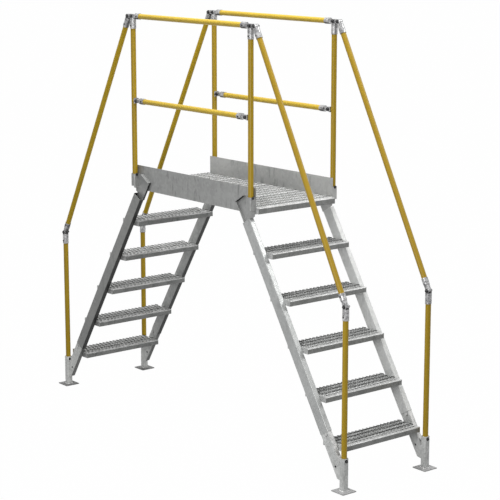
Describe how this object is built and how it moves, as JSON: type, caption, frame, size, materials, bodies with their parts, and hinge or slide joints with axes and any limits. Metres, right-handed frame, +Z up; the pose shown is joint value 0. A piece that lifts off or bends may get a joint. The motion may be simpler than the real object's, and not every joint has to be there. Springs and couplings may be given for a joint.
{
  "type": "crossover ladder",
  "caption": "Free-standing crossover ladder: two steep flights of grip planks joined by a short guarded deck, with yellow tube handrails down to base plates.",
  "frame": {"origin": "on the floor, under the middle of the deck", "axes": "+X along the crossing towards the right flight, +Y across it towards the back handrail, +Z up"},
  "size_m": [2.9576, 0.7496, 2.6104],
  "materials": {
    "galvanised_steel": "galvanised, dull and slightly mottled",
    "yellow_coated_tube": "safety yellow powder coat, satin",
    "zinc_plated_fittings": "bright zinc, shiny"
  },
  "bodies": {
    "root": {"back_middle_rail": "yellow_coated_tube", "back_side_panel": "galvanised_steel", "back_top_rail": "yellow_coated_tube", "deck_planks": "galvanised_steel", "front_middle_rail": "yellow_coated_tube", "front_side_panel": "galvanised_steel", "front_top_rail": "yellow_coated_tube", "left_back_deck_post": "yellow_coated_tube", "left_back_foot_bracket": "galvanised_steel", "left_back_foot_post": "yellow_coated_tube", "left_back_knuckle": "zinc_plated_fittings", "left_back_post_fittings": "zinc_plated_fittings", "left_back_sloped_rail": "yellow_coated_tube", "left_back_stringer": "galvanised_steel", "left_front_deck_post": "yellow_coated_tube", "left_front_foot_bracket": "galvanised_steel", "left_front_foot_post": "yellow_coated_tube", "left_front_knuckle": "zinc_plated_fittings", "left_front_post_fittings": "zinc_plated_fittings", "left_front_sloped_rail": "yellow_coated_tube", "left_front_stringer": "galvanised_steel", "left_tread_1": "galvanised_steel", "left_tread_2": "galvanised_steel", "left_tread_3": "galvanised_steel", "left_tread_4": "galvanised_steel", "left_tread_5": "galvanised_steel", "right_back_deck_post": "yellow_coated_tube", "right_back_foot_bracket": "galvanised_steel", "right_back_foot_post": "yellow_coated_tube", "right_back_knuckle": "zinc_plated_fittings", "right_back_post_fittings": "zinc_plated_fittings", "right_back_sloped_rail": "yellow_coated_tube", "right_back_stringer": "galvanised_steel", "right_front_deck_post": "yellow_coated_tube", "right_front_foot_bracket": "galvanised_steel", "right_front_foot_post": "yellow_coated_tube", "right_front_knuckle": "zinc_plated_fittings", "right_front_post_fittings": "zinc_plated_fittings", "right_front_sloped_rail": "yellow_coated_tube", "right_front_stringer": "galvanised_steel", "right_tread_1": "galvanised_steel", "right_tread_2": "galvanised_steel", "right_tread_3": "galvanised_steel", "right_tread_4": "galvanised_steel", "right_tread_5": "galvanised_steel"}
  },
  "joints": []
}
